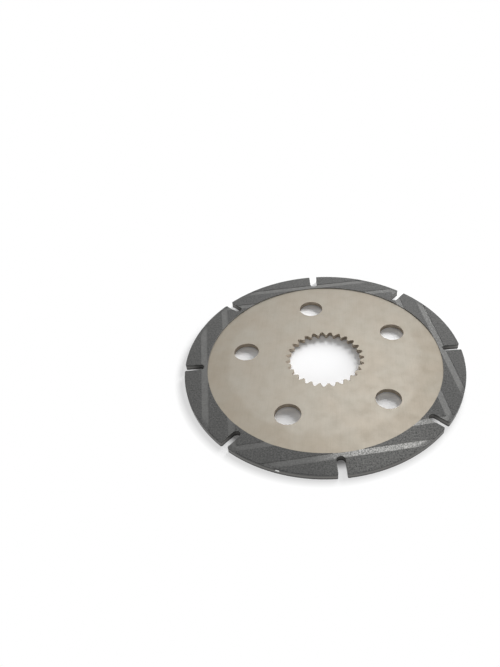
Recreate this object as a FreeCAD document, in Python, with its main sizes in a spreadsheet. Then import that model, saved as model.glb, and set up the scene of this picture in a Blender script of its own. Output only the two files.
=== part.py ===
import FreeCAD, Part
import math
import os

import Sketcher

# Wet brake disc: a flat splined steel core plate with a friction ring bonded to each face.
# Millimetres and degrees. The origin is the disc's centre, halfway through its thickness,
# and +Z is the disc's axis, out of its front face. Angles run anticlockwise from +X.

# Each driving dimension: its name, its value and what it measures
SIZES = [
    ("disc_diameter", 224.0, "outside of the core plate and of both facings"),
    ("core_thickness", 3.5, "steel plate"),
    ("facing_width", 17.65, "friction ring, from the rim in to its bore"),
    ("facing_thickness", 0.9, "one friction ring, above the steel"),
    ("facing_edge_bevel", 0.4, "ground edge round a facing's open side, at the rim"),
    ("oil_hole_count", 5, "round holes through the core plate"),
    ("oil_hole_diameter", 20.0, "round hole"),
    ("oil_hole_circle", 130.0, "diameter of the circle of round holes"),
    ("oil_hole_angle", 30.4, "first round hole"),
    ("slot_count", 8, "radial slots in from the rim"),
    ("slot_width", 6.4, "between a slot's walls"),
    ("slot_web", 2.6, "friction ring left between a slot's floor and the ring's bore"),
    ("slot_mouth_radius", 1.2, "rounding of the two corners of a slot at the rim"),
    ("slot_angle", 7.4, "first slot"),
    ("spline_teeth", 27, "teeth of the internal spline"),
    ("spline_pitch_diameter", 60.0, "spline pitch circle"),
    ("spline_tip_height", 1.75, "teeth, from the pitch circle in to their tips"),
    ("spline_root_depth", 1.75, "gaps, from the pitch circle out to their roots"),
    ("spline_pressure_angle", 30.0, "involute spline pressure angle"),
    ("spline_angle", 3.0, "middle of the first gap"),
    ("groove_sets", 4, "times that the pair of oil grooves is repeated round a facing"),
    ("groove_width", 5.2, "shallow oil groove"),
    ("groove_depth", 0.3, "oil groove below the facing's surface"),
    ("long_groove_clearance", 1.95, "ring's bore to the middle of the groove that grazes it"),
    ("split_groove_inset", 33.9, "rim to the middle of the groove that the ring's bore splits in two"),
    ("groove_angle", 11.15, "normal of the first pair of grooves, seen from the front"),
]

# Radii and heights that several features share, as expressions of those dimensions
RIM = "sizes.disc_diameter / 2"
FACING_BORE = f"({RIM} - sizes.facing_width)"
SLOT_FLOOR = f"({FACING_BORE} + sizes.slot_web)"
SPLINE_TIPS = "(sizes.spline_pitch_diameter / 2 - sizes.spline_tip_height)"
SPLINE_ROOTS = "(sizes.spline_pitch_diameter / 2 + sizes.spline_root_depth)"
PLATE_FACE = "sizes.core_thickness / 2"
FACING_FACE = "(sizes.core_thickness / 2 + sizes.facing_thickness)"

# The sides of the disc, along its axis
FRONT = 1
REAR = -1

# How a sketch's constraints name the points of an element, the origin and the X axis
START, END, CENTRE = range(1, 4)
ORIGIN = (-1, 1)
X_AXIS = -1

# How near two lengths are to count as the same, in millimetres
SAME = 1e-4

doc = FreeCAD.newDocument("wet_brake_disc")
sheet = doc.addObject("Spreadsheet::Sheet", "sizes")


def fill_sheet():
    """Writes the driving dimensions to the spreadsheet, one row each."""
    for row, (name, value, meaning) in enumerate(SIZES, start=1):
        sheet.set(f"A{row}", meaning)
        sheet.set(f"B{row}", str(value))
        sheet.setAlias(f"B{row}", name)
    doc.recompute()


def number(expression):
    """What an expression of the driving dimensions comes to, in millimetres or degrees."""
    value = sheet.evalExpression(expression)
    return getattr(value, "Value", value)


def new_body(name):
    body = doc.addObject("PartDesign::Body", name)
    body.Label = name
    return body


def origin_feature(body, role):
    """The body's own origin plane or axis with this role."""
    return next(item for item in body.Origin.OriginFeatures if item.Role == role)


def new_sketch(body, name, height, turn="0"):
    """A sketch square to the disc's axis, at a height and turned about the axis by an angle."""
    sketch = body.newObject("Sketcher::SketchObject", name)
    sketch.AttachmentSupport = [(origin_feature(body, "XY_Plane"), "")]
    sketch.MapMode = "FlatFace"
    sketch.setExpression("AttachmentOffset.Base.z", height)
    sketch.setExpression("AttachmentOffset.Rotation.Angle", turn)
    return sketch


def point(x, y):
    return FreeCAD.Vector(x, y, 0)


def line(start, end):
    return Part.LineSegment(point(*start), point(*end))


def circle(x, y, radius):
    return Part.Circle(point(x, y), FreeCAD.Vector(0, 0, 1), radius)


def arc(x, y, radius, first, last):
    """An arc about (x, y), anticlockwise from the first angle to the last, in radians."""
    return Part.ArcOfCircle(circle(x, y, radius), first, last)


def tie(sketch, kind, *elements):
    """A constraint without a value."""
    sketch.addConstraint(Sketcher.Constraint(kind, *elements))


def bind(sketch, name, expression, kind, *elements):
    """A named constraint whose value is an expression of the driving dimensions."""
    index = sketch.addConstraint(Sketcher.Constraint(kind, *elements, number(expression)))
    sketch.renameConstraint(index, name)
    sketch.setExpression(f"Constraints.{name}", expression)


def centred_circle(sketch, name, radius, construction=False):
    """A circle about the disc's axis, with its radius bound to the expression."""
    index = sketch.addGeometry(circle(0, 0, number(radius)), construction)
    tie(sketch, "Coincident", index, CENTRE, *ORIGIN)
    bind(sketch, name, radius, "Radius", index)
    return index


def pad(body, name, sketch, thickness, side=FRONT):
    """Raises the sketch by the thickness, towards the given side of the disc."""
    feature = body.newObject("PartDesign::Pad", name)
    feature.Profile = sketch
    feature.setExpression("Length", thickness)
    feature.Reversed = side == REAR
    doc.recompute()
    return feature


def pocket(body, name, sketch, depth=None, side=FRONT):
    """Sinks the sketch into the body from the given side: by the depth, or right through."""
    feature = body.newObject("PartDesign::Pocket", name)
    feature.Profile = sketch
    feature.Reversed = side == REAR
    if depth:
        feature.setExpression("Length", depth)
    else:
        feature.Type = "ThroughAll"
    return finish_cut(feature)


def around(body, name, feature, count):
    """Repeats a feature evenly round the disc's axis."""
    pattern = body.newObject("PartDesign::PolarPattern", name)
    pattern.Originals = [feature]
    pattern.Axis = (origin_feature(body, "Z_Axis"), [""])
    pattern.Angle = 360
    pattern.setExpression("Occurrences", count)
    body.Tip = pattern
    return finish_cut(pattern)


def dress_edges(body, kind, name, base, size_name, expression, wanted):
    """A fillet or a chamfer on the edges of the base feature that the test picks."""
    feature = body.newObject(kind, name)
    edges = [f"Edge{place}" for place, edge in enumerate(base.Shape.Edges, start=1) if wanted(edge)]
    feature.Base = (base, edges)
    feature.setExpression(size_name, expression)
    return finish_cut(feature)


def finish_cut(feature):
    """Works the feature out, and stops the build where it should remove metal and removes none."""
    doc.recompute()
    if not feature.Shape.Volume < feature.BaseFeature.Shape.Volume:
        raise RuntimeError(f"{feature.Name} removes nothing")
    return feature


def slot_sketch(body, height):
    """One radial slot along the sketch's X axis: a round floor, straight walls, open at the rim."""
    sketch = new_sketch(body, "slot_sketch", height, "sizes.slot_angle")
    half_width = "sizes.slot_width / 2"
    middle_place = f"{SLOT_FLOOR} + {half_width}"
    mouth_place = f"{RIM} + sizes.slot_width"
    half, middle, mouth = number(half_width), number(middle_place), number(mouth_place)
    floor = sketch.addGeometry(arc(middle, 0, half, math.pi / 2, 3 * math.pi / 2))
    near_wall = sketch.addGeometry(line((middle, -half), (mouth, -half)))
    opening = sketch.addGeometry(line((mouth, -half), (mouth, half)))
    far_wall = sketch.addGeometry(line((mouth, half), (middle, half)))
    tie(sketch, "Tangent", floor, END, near_wall, START)
    tie(sketch, "Coincident", near_wall, END, opening, START)
    tie(sketch, "Coincident", opening, END, far_wall, START)
    tie(sketch, "Tangent", far_wall, END, floor, START)
    tie(sketch, "Horizontal", near_wall)
    tie(sketch, "Horizontal", far_wall)
    tie(sketch, "Vertical", opening)
    tie(sketch, "PointOnObject", floor, CENTRE, X_AXIS)
    bind(sketch, "floor_radius", half_width, "Radius", floor)
    bind(sketch, "floor_middle", middle_place, "DistanceX", *ORIGIN, floor, CENTRE)
    bind(sketch, "past_the_rim", mouth_place, "DistanceX", *ORIGIN, opening, START)
    return sketch


def cut_slots(body, height, side=FRONT):
    """Cuts all the slots, then rounds the corners where they open at the rim."""
    slot = pocket(body, "slot", slot_sketch(body, height), side=side)
    slots = around(body, "slots", slot, "sizes.slot_count")
    rim = number(RIM)

    def mouth_corner(edge):
        upright = edge.BoundBox.ZLength > SAME
        return upright and all(abs(from_axis(vertex) - rim) < SAME for vertex in edge.Vertexes)

    return dress_edges(body, "PartDesign::Fillet", "slot_mouths", slots,
                       "Radius", "sizes.slot_mouth_radius", mouth_corner)


def from_axis(vertex):
    return math.hypot(vertex.X, vertex.Y)


def spline_gap_sketch(body, height):
    """One gap between two spline teeth, along the sketch's X axis.

    A flank is the circle that its involute follows at the pitch circle, which is centred on the
    base circle. The root is the full round that touches both flanks and the root circle. A chord
    closes the gap a little way inside the open bore.
    """
    sketch = new_sketch(body, "spline_gap_sketch", height, "sizes.spline_angle")
    pressure = "sizes.spline_pressure_angle"
    lean = f"({pressure} - 90 / sizes.spline_teeth)"
    base_radius = f"sizes.spline_pitch_diameter / 2 * cos({pressure})"
    flank_radius = f"sizes.spline_pitch_diameter / 2 * sin({pressure})"
    centre_along = f"{base_radius} * cos{lean}"
    centre_aside = f"{base_radius} * sin{lean}"
    chord_place = f"{SPLINE_TIPS} - sizes.spline_tip_height"

    # The same geometry worked out once, so that the sketch starts near its solution
    flank, along, aside = number(flank_radius), number(centre_along), number(centre_aside)
    chord = number(chord_place)
    inset = number(SPLINE_ROOTS) - flank
    root_along = (along ** 2 + aside ** 2 - inset ** 2) / (2 * (along - inset))
    root = number(SPLINE_ROOTS) - root_along
    root_turn = math.atan2(aside, root_along - along)
    chord_turn = math.acos((chord - along) / flank)
    chord_half = flank * math.sin(chord_turn) - aside

    upper = sketch.addGeometry(arc(along, -aside, flank, root_turn, chord_turn))
    lower = sketch.addGeometry(arc(along, aside, flank, -chord_turn, -root_turn))
    bottom = sketch.addGeometry(arc(root_along, 0, root, -root_turn, root_turn))
    closing = sketch.addGeometry(line((chord, chord_half), (chord, -chord_half)))
    root_circle = centred_circle(sketch, "root_circle", SPLINE_ROOTS, construction=True)
    tie(sketch, "Tangent", lower, END, bottom, START)
    tie(sketch, "Tangent", bottom, END, upper, START)
    tie(sketch, "Coincident", upper, END, closing, START)
    tie(sketch, "Coincident", closing, END, lower, START)
    tie(sketch, "Vertical", closing)
    tie(sketch, "Symmetric", lower, CENTRE, upper, CENTRE, X_AXIS)
    tie(sketch, "Equal", lower, upper)
    tie(sketch, "Tangent", bottom, root_circle)
    bind(sketch, "flank_radius", flank_radius, "Radius", upper)
    bind(sketch, "flank_centre_along", centre_along, "DistanceX", *ORIGIN, upper, CENTRE)
    bind(sketch, "flank_centre_aside", centre_aside, "DistanceY", *ORIGIN, lower, CENTRE)
    bind(sketch, "chord_place", chord_place, "DistanceX", *ORIGIN, closing, START)
    return sketch


def build_core_plate():
    """The flat steel plate that the spline turns and that carries the facings."""
    body = new_body("core_plate")
    outline = new_sketch(body, "plate_sketch", f"-{PLATE_FACE}")
    centred_circle(outline, "rim", RIM)
    pad(body, "plate", outline, "sizes.core_thickness")
    cut_slots(body, PLATE_FACE)

    hole_sketch = new_sketch(body, "oil_hole_sketch", PLATE_FACE, "sizes.oil_hole_angle")
    radius = "sizes.oil_hole_diameter / 2"
    place = "sizes.oil_hole_circle / 2"
    ring = hole_sketch.addGeometry(circle(number(place), 0, number(radius)))
    tie(hole_sketch, "PointOnObject", ring, CENTRE, X_AXIS)
    bind(hole_sketch, "radius", radius, "Radius", ring)
    bind(hole_sketch, "place", place, "DistanceX", *ORIGIN, ring, CENTRE)
    hole = pocket(body, "oil_hole", hole_sketch)
    around(body, "oil_holes", hole, "sizes.oil_hole_count")

    bore_sketch = new_sketch(body, "bore_sketch", PLATE_FACE)
    centred_circle(bore_sketch, "tooth_tips", SPLINE_TIPS)
    pocket(body, "bore", bore_sketch)
    gap = pocket(body, "spline_gap", spline_gap_sketch(body, PLATE_FACE))
    around(body, "spline_gaps", gap, "sizes.spline_teeth")
    return body


def groove_sketch(body, height, turn):
    """A pair of straight oil grooves square to the sketch's X axis, each right across the ring."""
    sketch = new_sketch(body, "groove_sketch", height, turn)
    reach = number(RIM)
    middles = {
        "long": f"{FACING_BORE} + sizes.long_groove_clearance",
        "split": f"{RIM} - sizes.split_groove_inset",
    }
    for name, middle in middles.items():
        near_place = f"{middle} - sizes.groove_width / 2"
        far_place = f"{middle} + sizes.groove_width / 2"
        near, far = number(near_place), number(far_place)
        corners = [(near, -reach), (far, -reach), (far, reach), (near, reach)]
        bottom, outer, top, inner = [
            sketch.addGeometry(line(corner, corners[(turn + 1) % 4])) for turn, corner in enumerate(corners)
        ]
        for side, following in ((bottom, outer), (outer, top), (top, inner), (inner, bottom)):
            tie(sketch, "Coincident", side, END, following, START)
        tie(sketch, "Horizontal", bottom)
        tie(sketch, "Horizontal", top)
        tie(sketch, "Vertical", outer)
        tie(sketch, "Vertical", inner)
        bind(sketch, f"{name}_near_edge", near_place, "DistanceX", *ORIGIN, bottom, START)
        bind(sketch, f"{name}_far_edge", far_place, "DistanceX", *ORIGIN, bottom, END)
        bind(sketch, f"{name}_upper_end", RIM, "DistanceY", *ORIGIN, top, START)
        bind(sketch, f"{name}_lower_end", RIM, "DistanceY", bottom, START, *ORIGIN)
    return sketch


def build_facing(name, side):
    """A friction ring bonded to one face of the plate, with its slots, ground edge and oil grooves.

    The rear ring is the front ring turned over about the middle of the first slot. So its slots lie
    over the plate's, and its grooves run as the front ones do when its own face is looked at.
    """
    body = new_body(name)
    sign = "" if side == FRONT else "-"
    open_face = sign + FACING_FACE
    groove_turn = "sizes.groove_angle" if side == FRONT else "2 * sizes.slot_angle - sizes.groove_angle"
    open_height = number(open_face)
    rim = number(RIM)

    outline = new_sketch(body, "ring_sketch", sign + PLATE_FACE)
    centred_circle(outline, "rim", RIM)
    centred_circle(outline, "bore", FACING_BORE)
    ring = pad(body, "ring", outline, "sizes.facing_thickness", side)

    def open_rim(edge):
        return all(
            abs(vertex.Z - open_height) < SAME and abs(from_axis(vertex) - rim) < SAME
            for vertex in edge.Vertexes
        )

    dress_edges(body, "PartDesign::Chamfer", "ground_edge", ring,
                "Size", "sizes.facing_edge_bevel", open_rim)
    cut_slots(body, open_face, side)
    pair = pocket(body, "groove_pair", groove_sketch(body, open_face, groove_turn),
                  "sizes.groove_depth", side)
    around(body, "grooves", pair, "sizes.groove_sets")
    return body


def check(bodies):
    """Stops the build before anything is written if an object failed or a shape isn't sound."""
    doc.recompute()
    for item in doc.Objects:
        if "Invalid" in item.State or "Error" in item.State:
            raise RuntimeError(f"{item.Name} failed: {item.State}")
    for body in bodies:
        if body.Shape.isNull() or not body.Shape.isValid():
            raise RuntimeError(f"{body.Label} has no sound shape")


fill_sheet()
pieces = [
    build_core_plate(),
    build_facing("front_friction_facing", FRONT),
    build_facing("rear_friction_facing", REAR),
]
check(pieces)
os.makedirs("parts", exist_ok=True)
for piece in pieces:
    piece.Shape.exportStep(f"parts/{piece.Label}.step")
    print(piece.Label, len(piece.Shape.Solids), "solid,", round(piece.Shape.Volume / 1000, 2), "cm3")
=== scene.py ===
import math

import bpy
from mathutils import Matrix, Vector


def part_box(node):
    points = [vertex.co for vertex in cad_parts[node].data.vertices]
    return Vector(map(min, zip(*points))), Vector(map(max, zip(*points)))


# Looks of the wet brake disc: steel core plate, two friction rings, white floor, lights and camera.
# Lengths are in metres, written as millimetres times MM. Angles are in degrees. Colours are linear.
MM = 0.001

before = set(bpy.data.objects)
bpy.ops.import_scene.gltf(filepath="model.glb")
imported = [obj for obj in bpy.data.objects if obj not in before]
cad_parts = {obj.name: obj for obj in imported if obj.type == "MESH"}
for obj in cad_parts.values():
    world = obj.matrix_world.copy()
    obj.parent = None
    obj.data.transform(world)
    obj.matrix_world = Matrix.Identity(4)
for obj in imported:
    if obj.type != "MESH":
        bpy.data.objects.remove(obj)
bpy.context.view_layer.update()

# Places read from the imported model
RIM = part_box("core_plate")[1].x
PLATE_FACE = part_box("core_plate")[1].z
FACING_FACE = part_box("front_friction_facing")[1].z
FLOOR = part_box("rear_friction_facing")[0].z
FACING_BORE = min(
    math.hypot(vertex.co.x, vertex.co.y)
    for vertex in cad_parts["front_friction_facing"].data.vertices
)

# Depth of the oil grooves, as in the part's source, and the heights at which they begin and end
GROOVE_DEPTH = 0.3 * MM
BELOW_FACE = {"low": FACING_FACE - 0.2 * GROOVE_DEPTH, "high": FACING_FACE - 0.5 * GROOVE_DEPTH}
ABOVE_STEEL = {"low": FACING_FACE - 1.5 * GROOVE_DEPTH, "high": FACING_FACE - 1.2 * GROOVE_DEPTH}

# Ranges of radius, height or flatness: nothing at the low end and all at the high end
STEEL_WALL = {"low": 0.85, "high": 0.6}
STEEL_MIDWAY = {"low": 0.75 * PLATE_FACE, "high": 0.4 * PLATE_FACE}
UNDER_RING = {"low": 0.99 * FACING_BORE, "high": FACING_BORE}
FLANK_WALL = {"low": 0.6, "high": 0.2}
GROOVE_FADE = {"low": 0.987 * RIM, "high": 0.965 * RIM}
# The floor is painted partly white over the disc's shadow: painted light in the slots and just outside
# the rim
WHITE_IN_SLOTS = {"low": 0.895 * RIM, "high": 0.95 * RIM, "to_high": 0.56}
WHITE_OUTSIDE = {"low": 1.015 * RIM, "high": 1.065 * RIM, "to_high": 0.44}

# Where the facing has a painted highlight and where it is dull: none beyond the outer distance, all
# within the inner
FACING_MIDDLE = 104 * MM
HIGHLIGHT_SPOT = {"angle": 297, "outer": 55 * MM, "inner": 22 * MM}
DULL = {"angle": 246, "outer": 58 * MM, "inner": 30 * MM}

# The small pale chip on the front of the rim, as spots in a row
CHIP_ANGLES = (254.3, 254.7, 255.1)
CHIP_HEIGHT = 0.9 * MM
CHIP_EDGE = {"outer": 0.75 * MM, "inner": 0.55 * MM}

# The band of steel next to the facing, with a stain and painted shade, and the two sides on which the
# painted shade is strong
STAIN_BAND = {"low": 0.805 * FACING_BORE, "high": 0.855 * FACING_BORE}
STAIN_WANDER = 5 * MM
STAIN_AND_SHADE_LEFT = 225
STAIN_AND_SHADE_RIGHT = 348
LEFT_SPREAD = {"low": 0.0, "high": 0.9, "to_low": 0.2, "to_high": 1.1}
RIGHT_SPREAD = {"low": 0.6, "high": 0.95, "to_low": 0.2, "to_high": 0.9}

# Shares: rolling in the steel's texture, face colour in a dull groove, metal in a groove, and the painted
# glints left in a groove outside the painted highlight
ROLLING_SHARE = 0.6
DULLING = 0.5
GROOVE_METAL = 0.3
GLINTS_BEYOND_HIGHLIGHT = 0.05

# Colours of the steel: two shades of its face, three that dim it, one of them also painted shade, and its
# punched and ground walls
STEEL_COOL = (0.353, 0.327, 0.281, 1)
STEEL_WARM = (0.348, 0.314, 0.264, 1)
STEEL_CLOUDED = (0.96, 0.95, 0.93, 1)
STEEL_STAIN_AND_SHADE = (0.92, 0.905, 0.88, 1)
STEEL_STREAKED = (0.95, 0.95, 0.95, 1)
PUNCHED_DARK = (0.36, 0.31, 0.25, 1)
PUNCHED_PALE = (0.51, 0.44, 0.36, 1)
GROUND_DARK = (0.11, 0.11, 0.107, 1)
GROUND_PALE = (0.195, 0.19, 0.182, 1)

# Colours of the facing, of its grooves and of the chip; the highlight, glint and flank colours are
# painted light
FACE_DARK = (0.03, 0.03, 0.029, 1)
FACE_PALE = (0.126, 0.126, 0.123, 1)
FACE_PATCHED = (0.9, 0.9, 0.9, 1)
FACE_SPECK = (0.22, 0.22, 0.21, 1)
FACE_HIGHLIGHT = (0.24, 0.24, 0.23, 1)
GROOVE_DARK = (0.095, 0.095, 0.092, 1)
GROOVE_PALE = (0.15, 0.15, 0.146, 1)
GROOVE_GLINT = (0.53, 0.525, 0.505, 1)
GROOVE_FLANK_PAINTED_LIGHT = (0.3, 0.3, 0.29, 1)
CHIP = (0.85, 0.85, 0.84, 1)

# The floor: half its width, its colours as seen and as it lights the disc, its own faint light, and the
# place round which it turns white
WHITE = (1, 1, 1, 1)
FLOOR_HALF = 3.0
FLOOR_SHADED = (0.97, 0.97, 0.975, 1)
FLOOR_BOUNCE = (0.8, 0.8, 0.8, 1)
FLOOR_GLOW = 0.04
FLOOR_MIDDLE = (-2 * MM, 1 * MM, 0)

# Lights: azimuth 0 is on the +X side and 90 on the far side, +Y, and a share is of white at the centre
AMBIENT = 0.17
SHADE_LAMPS = (
    {"name": "key", "azimuth": 62, "elevation": 20, "distance": 0.7, "size": 0.36, "share": 0.76},
    {"name": "back", "azimuth": 118, "elevation": 34, "distance": 0.8, "size": 0.35, "share": 0.08},
    {"name": "fill", "azimuth": 305, "elevation": 9, "distance": 0.9, "size": 0.25, "share": 0.07},
)
SHEEN_LAMP = {"azimuth": 78, "elevation": 54, "distance": 0.86, "size": 0.3, "brightness": 3.9}

# The photograph's frame in pixels, and its camera as fitted to the rims, holes and spline
FRAME_WIDTH = 500
FRAME_HEIGHT = 667
OPTICAL_CENTRE_X = 320.5
FOCAL_PIXELS = 550.2
CAMERA_AIM = Vector((-4.59 * MM, 30.02 * MM, PLATE_FACE))
CAMERA_DISTANCE = 468.5 * MM
CAMERA_AZIMUTH = 2.18
CAMERA_ELEVATION = 41.25
CAMERA_ROLL = 0.88
SENSOR = 36.0


def plug(tree, socket, value):
    """Links the socket to another node's output, or sets its constant."""
    if isinstance(value, bpy.types.NodeSocket):
        tree.links.new(value, socket)
    else:
        socket.default_value = value


def node(tree, kind, **inputs):
    """A shader node with the named inputs linked or set."""
    made = tree.nodes.new(f"ShaderNode{kind}")
    for name, value in inputs.items():
        plug(tree, made.inputs[name.replace("_", " ")], value)
    return made


def calc(tree, operation, *values):
    """One step of arithmetic on numbers."""
    made = node(tree, "Math")
    made.operation = operation
    for socket, value in zip(made.inputs, values):
        plug(tree, socket, value)
    return made.outputs[0]


def vector_calc(tree, operation, place, constant):
    """One step of arithmetic on a place and a constant vector."""
    made = node(tree, "VectorMath", Vector=place)
    made.operation = operation
    made.inputs[1].default_value = constant
    return made.outputs


def remap(tree, value, low, high, to_low=0.0, to_high=1.0):
    """The value carried from one range to another, and held at its ends."""
    made = node(tree, "MapRange", Value=value, From_Min=low, From_Max=high)
    plug(tree, made.inputs["To Min"], to_low)
    plug(tree, made.inputs["To Max"], to_high)
    return made.outputs["Result"]


def mix(tree, factor, first, second, how="MIX"):
    """Two colours mixed by the factor, from the first to the second."""
    made = node(tree, "Mix")
    made.data_type = "RGBA"
    made.blend_type = how
    for name, value in (("Factor_Float", factor), ("A_Color", first), ("B_Color", second)):
        socket = next(item for item in made.inputs if item.identifier == name)
        plug(tree, socket, value)
    return next(item for item in made.outputs if item.identifier == "Result_Color")


def noise(tree, place, grain, detail, roughness=0.5, stretch=(1, 1, 1)):
    """Noise from 0 to 1 whose grain is about that long, drawn out along an axis by its stretch."""
    scaled = vector_calc(tree, "MULTIPLY", place, [1 / (grain * along) for along in stretch])
    made = node(tree, "TexNoise", Vector=scaled["Vector"], Scale=1.0, Detail=detail, Roughness=roughness)
    return made.outputs["Fac"]


def bump(tree, height, distance, strength):
    """A normal tilted by that texture."""
    made = node(tree, "Bump", Height=height, Distance=distance, Strength=strength)
    return made.outputs["Normal"]


def on_circle(radius, angle, height=0.0):
    """The place at that radius and angle round the disc's axis."""
    turn = math.radians(angle)
    return (radius * math.cos(turn), radius * math.sin(turn), height)


def near(tree, place, radius, height, angle, outer, inner):
    """1 within the inner distance of that spot of the disc, and 0 beyond the outer."""
    away = vector_calc(tree, "DISTANCE", place, on_circle(radius, angle, height))
    return remap(tree, away["Value"], outer, inner)


def turned_to(tree, place, radius, angle):
    """1 on that side of the disc's centre, 0 a quarter turn from it and -1 opposite."""
    along = vector_calc(tree, "DOT_PRODUCT", place, on_circle(1.0, angle))
    return calc(tree, "DIVIDE", along["Value"], radius)


def chipped(tree, place, colour):
    """The colour, with the chip on it."""
    for angle in CHIP_ANGLES:
        chip = near(tree, place, RIM, CHIP_HEIGHT, angle, **CHIP_EDGE)
        colour = mix(tree, chip, colour, CHIP)
    return colour


def empty_tree(holder):
    """The cleared node tree of a material or a world."""
    holder.use_nodes = True
    holder.node_tree.nodes.clear()
    return holder.node_tree


def finish_tree(tree, shader, kind="OutputMaterial"):
    """Ends the tree with that shader."""
    output = node(tree, kind)
    tree.links.new(shader.outputs[0], output.inputs["Surface"])


def join_shaders(tree, kind, first, second, **inputs):
    """Two shaders added or mixed."""
    made = node(tree, kind, **inputs)
    plug(tree, made.inputs[-2], first.outputs[0])
    plug(tree, made.inputs[-1], second.outputs[0])
    return made


def finish_material(tree, **inputs):
    """Ends the tree with the disc's kind of shader."""
    finish_tree(tree, node(tree, "BsdfPrincipled", **inputs))


def new_material(name):
    """A material with what its nodes start from: place, radius, height and flatness.

    Height is measured from the disc's middle plane. Flatness is 1 on a face and 0 on a wall.
    """
    material = bpy.data.materials.new(name)
    tree = empty_tree(material)
    place = node(tree, "TexCoord").outputs["Object"]
    normal = node(tree, "TexCoord").outputs["Normal"]
    across = node(tree, "SeparateXYZ", Vector=place).outputs
    facing = node(tree, "SeparateXYZ", Vector=normal).outputs
    squares = [calc(tree, "POWER", across[axis], 2.0) for axis in ("X", "Y")]
    radius = calc(tree, "SQRT", calc(tree, "ADD", *squares))
    height = calc(tree, "ABSOLUTE", across["Z"])
    flatness = calc(tree, "ABSOLUTE", facing["Z"])
    return material, tree, place, radius, height, flatness


def steel_material():
    """Satin tan-grey plate steel, with faint stains and rolling, painted shade on parts of its band next
    to the facing, browner holes and a darker rim.
    """
    material, tree, place, radius, height, flatness = new_material("core_steel")

    # The face, dimmed by clouds, by the band of stain and painted shade, and by the streaks of rolling
    clouds = noise(tree, place, grain=26 * MM, detail=3.0)
    stains = noise(tree, place, grain=9 * MM, detail=4.0, roughness=0.6)
    rolling = noise(tree, place, grain=0.7 * MM, detail=3.0, stretch=(1, 26, 1))
    streaks = remap(tree, rolling, low=0.4, high=0.7, to_high=0.7)
    face = mix(tree, remap(tree, clouds, low=0.35, high=0.65), STEEL_COOL, STEEL_WARM)
    clouded = remap(tree, stains, low=0.45, high=0.75, to_high=0.8)
    face = mix(tree, clouded, face, STEEL_CLOUDED, "MULTIPLY")
    wander = remap(tree, clouds, low=0.0, high=1.0, to_low=-STAIN_WANDER, to_high=STAIN_WANDER)
    band = remap(tree, calc(tree, "ADD", radius, wander), **STAIN_BAND)
    # Painted shade: the band is darkest on its left and right sides, standing in for the steel's dimmer
    # reflection there
    left = remap(tree, turned_to(tree, place, radius, STAIN_AND_SHADE_LEFT), **LEFT_SPREAD)
    right = remap(tree, turned_to(tree, place, radius, STAIN_AND_SHADE_RIGHT), **RIGHT_SPREAD)
    stain_and_shade = calc(tree, "MULTIPLY", band, calc(tree, "MAXIMUM", left, right))
    face = mix(tree, stain_and_shade, face, STEEL_STAIN_AND_SHADE, "MULTIPLY")
    face = mix(tree, streaks, face, STEEL_STREAKED, "MULTIPLY")

    # The walls: punched in the bore and holes, ground at the rim and slots and palest midway up
    shear = noise(tree, place, grain=0.6 * MM, detail=3.0, stretch=(1, 1, 12))
    punched = mix(tree, shear, PUNCHED_DARK, PUNCHED_PALE)
    ground = mix(tree, remap(tree, height, **STEEL_MIDWAY), GROUND_DARK, GROUND_PALE)
    walls = mix(tree, remap(tree, radius, **UNDER_RING), punched, ground)
    colour = mix(tree, remap(tree, flatness, **STEEL_WALL), face, walls)
    colour = chipped(tree, place, colour)

    # The sheen, broken up by the same stains and by fine pores
    pores = noise(tree, place, grain=0.5 * MM, detail=2.0)
    uneven = calc(tree, "ADD", stains, pores)
    roughness = remap(tree, uneven, low=0.6, high=1.4, to_low=0.44, to_high=0.56)
    texture = calc(tree, "ADD", calc(tree, "MULTIPLY", rolling, ROLLING_SHARE), pores)
    normal = bump(tree, texture, distance=0.02 * MM, strength=0.35)
    finish_material(tree, Base_Color=colour, Metallic=1.0, Roughness=roughness, Normal=normal)
    return material


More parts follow.
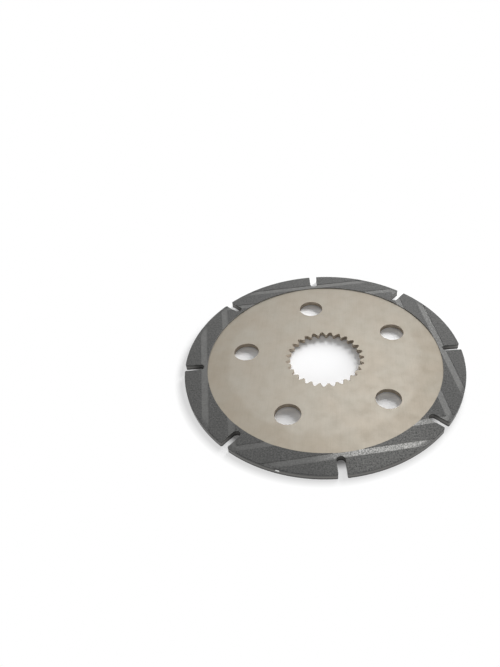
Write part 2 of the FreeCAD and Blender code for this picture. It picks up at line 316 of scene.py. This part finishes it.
def facing_material():
    """Dark grey friction material with a fine fibrous speckle, paler and coarser in its grooves, and a
    painted highlight with glints in one spot at the front right.
    """
    material, tree, place, radius, height, flatness = new_material("friction_facing")
    below_face = remap(tree, height, **BELOW_FACE)
    groove = calc(tree, "MULTIPLY", below_face, remap(tree, height, **ABOVE_STEEL))
    # Painted highlight: a spot where the facing is paler and its grooves glint, as where the light shines
    # on it
    highlight = near(tree, place, FACING_MIDDLE, FACING_FACE, **HIGHLIGHT_SPOT)
    dull = near(tree, place, FACING_MIDDLE, FACING_FACE, **DULL)

    # The face: fibres, broad patches and pale specks, and pale flecks of painted highlight in one spot
    fibres = noise(tree, place, grain=1.3 * MM, detail=3.0, roughness=0.75)
    patches = noise(tree, place, grain=14 * MM, detail=3.0)
    specks = noise(tree, place, grain=0.8 * MM, detail=2.0)
    highlight_grain = noise(tree, place, grain=1.3 * MM, detail=2.0, roughness=0.8)
    patched = remap(tree, patches, low=0.35, high=0.65, to_high=0.6)
    speckled = remap(tree, specks, low=0.62, high=0.75, to_high=0.5)
    highlight_flecks = calc(tree, "MULTIPLY", highlight, remap(tree, highlight_grain, low=0.35, high=0.7, to_high=0.6))
    face = mix(tree, remap(tree, fibres, low=0.3, high=0.7), FACE_DARK, FACE_PALE)
    face = mix(tree, patched, face, FACE_PATCHED, "MULTIPLY")
    face = mix(tree, speckled, face, FACE_SPECK)
    face = mix(tree, highlight_flecks, face, FACE_HIGHLIGHT)

    # The grooves: painted glints in the painted highlight, nearer the face where dull, flanks painted
    # light, and fading at the rim
    coarse = noise(tree, place, grain=1.5 * MM, detail=3.0, roughness=0.75)
    sparks = noise(tree, place, grain=1.1 * MM, detail=2.0, roughness=0.7)
    sparkling = remap(tree, highlight, low=0.0, high=1.0, to_low=GLINTS_BEYOND_HIGHLIGHT)
    glints = calc(tree, "MULTIPLY", remap(tree, sparks, low=0.36, high=0.68), sparkling)
    ploughed = mix(tree, remap(tree, coarse, low=0.3, high=0.7), GROOVE_DARK, GROOVE_PALE)
    ploughed = mix(tree, glints, ploughed, GROOVE_GLINT)
    ploughed = mix(tree, calc(tree, "MULTIPLY", dull, DULLING), ploughed, face)
    # Painted light: the grooves' flanks are pale so that their shade hardly shows
    ploughed = mix(tree, remap(tree, flatness, **FLANK_WALL), ploughed, GROOVE_FLANK_PAINTED_LIGHT)
    groove_seen = calc(tree, "MULTIPLY", groove, remap(tree, radius, **GROOVE_FADE))
    colour = mix(tree, groove_seen, face, ploughed)
    colour = chipped(tree, place, colour)

    # A faint metal shine in the grooves
    metallic = calc(tree, "MULTIPLY", groove, GROOVE_METAL)
    roughness = remap(tree, groove, low=0.0, high=1.0, to_low=0.65, to_high=0.45)
    normal = bump(tree, mix(tree, groove, fibres, coarse), distance=0.12 * MM, strength=0.6)
    finish_material(tree, Base_Color=colour, Metallic=metallic, Roughness=roughness, Normal=normal)
    return material


def dress(name, material):
    """Gives a CAD node its one material."""
    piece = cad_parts[name]
    piece.data.materials.clear()
    piece.data.materials.append(material)


def seen_directly(tree):
    """1 for what the camera sees, also in a reflection or through glass, and 0 for what gives light."""
    path = node(tree, "LightPath").outputs
    seen = calc(tree, "MAXIMUM", path["Is Camera Ray"], path["Is Glossy Ray"])
    return calc(tree, "MAXIMUM", seen, path["Is Transmission Ray"])


def floor_material():
    """White, with the disc's shadow kept near it, painted light over that shadow in the slots and just
    outside the rim, and plain white further off.
    """
    material = bpy.data.materials.new("floor")
    tree = empty_tree(material)
    place = node(tree, "TexCoord").outputs["Object"]
    distance = vector_calc(tree, "DISTANCE", place, FLOOR_MIDDLE)["Value"]
    # Painted light: partly white over the disc's shadow in the slots and just outside the rim
    in_slots = remap(tree, distance, **WHITE_IN_SLOTS)
    outside = remap(tree, distance, **WHITE_OUTSIDE)
    shaded = node(tree, "BsdfDiffuse", Color=FLOOR_SHADED)
    glow = node(tree, "Emission", Color=WHITE, Strength=FLOOR_GLOW)
    lit = join_shaders(tree, "AddShader", shaded, glow)
    white = node(tree, "Emission", Color=WHITE, Strength=1.0)
    seen = join_shaders(tree, "MixShader", lit, white, Fac=calc(tree, "ADD", in_slots, outside))
    bounce = node(tree, "BsdfDiffuse", Color=FLOOR_BOUNCE)
    finish_tree(tree, join_shaders(tree, "MixShader", bounce, seen, Fac=seen_directly(tree)))
    return material


def build_floor():
    """The square floor on which the disc lies."""
    corners = [(x * FLOOR_HALF, y * FLOOR_HALF, FLOOR) for x, y in ((-1, -1), (1, -1), (1, 1), (-1, 1))]
    mesh = bpy.data.meshes.new("floor")
    mesh.from_pydata(corners, [], [(0, 1, 2, 3)])
    floor = bpy.data.objects.new("floor", mesh)
    bpy.context.scene.collection.objects.link(floor)
    mesh.materials.append(floor_material())


def build_world():
    """White where it is seen, and a plain ambient light on the disc."""
    world = bpy.data.worlds.new("studio")
    bpy.context.scene.world = world
    tree = empty_tree(world)
    strength = remap(tree, seen_directly(tree), low=0.0, high=1.0, to_low=AMBIENT)
    background = node(tree, "Background", Color=WHITE, Strength=strength)
    finish_tree(tree, background, "OutputWorld")


def softbox(name, azimuth, elevation, distance, size, brightness, lights_diffuse, lights_gloss):
    """A square lamp aimed at the disc's centre, of a brightness where 1 is white."""
    lamp = bpy.data.lights.new(name, "AREA")
    lamp.shape = "SQUARE"
    lamp.size = size
    lamp.energy = brightness * math.pi * size ** 2
    holder = bpy.data.objects.new(name, lamp)
    bpy.context.scene.collection.objects.link(holder)
    up = math.radians(elevation)
    away = Vector(on_circle(math.cos(up), azimuth, math.sin(up)))
    holder.location = away * distance
    holder.rotation_mode = "QUATERNION"
    holder.rotation_quaternion = away.to_track_quat("Z", "Y")
    holder.visible_diffuse = lights_diffuse
    holder.visible_glossy = lights_gloss


def shade_lamp(name, azimuth, elevation, distance, size, share):
    """A lamp that lights the floor's middle to that share of white, and isn't mirrored in the steel."""
    brightness = share * math.pi * distance ** 2 / (size ** 2 * math.sin(math.radians(elevation)))
    softbox(name, azimuth, elevation, distance, size, brightness, lights_diffuse=True, lights_gloss=False)


def build_camera():
    """The photograph's camera, off its frame's centre as the photograph is cropped."""
    lens = bpy.data.cameras.new("camera")
    lens.sensor_width = SENSOR
    lens.lens = FOCAL_PIXELS * SENSOR / FRAME_HEIGHT
    lens.shift_x = (FRAME_WIDTH / 2 - OPTICAL_CENTRE_X) / FRAME_HEIGHT
    camera = bpy.data.objects.new("camera", lens)
    bpy.context.scene.collection.objects.link(camera)

    up_angle = math.radians(CAMERA_ELEVATION)
    turn = Matrix.Rotation(math.radians(CAMERA_AZIMUTH), 3, "Z")
    back = turn @ Vector((0, -math.cos(up_angle), math.sin(up_angle)))
    level = turn @ Vector((1, 0, 0))
    upright = back.cross(level)
    roll = math.radians(CAMERA_ROLL)
    right = math.cos(roll) * level - math.sin(roll) * upright
    above = math.sin(roll) * level + math.cos(roll) * upright
    facing = Matrix((right, above, back)).transposed().to_4x4()
    camera.matrix_world = Matrix.Translation(CAMERA_AIM + CAMERA_DISTANCE * back) @ facing
    bpy.context.scene.camera = camera


steel = steel_material()
friction = facing_material()
dress("core_plate", steel)
dress("front_friction_facing", friction)
dress("rear_friction_facing", friction)

build_floor()
build_world()
for lamp_values in SHADE_LAMPS:
    shade_lamp(**lamp_values)
softbox("sheen", **SHEEN_LAMP, lights_diffuse=False, lights_gloss=True)
build_camera()

bpy.context.scene.view_settings.view_transform = "Standard"
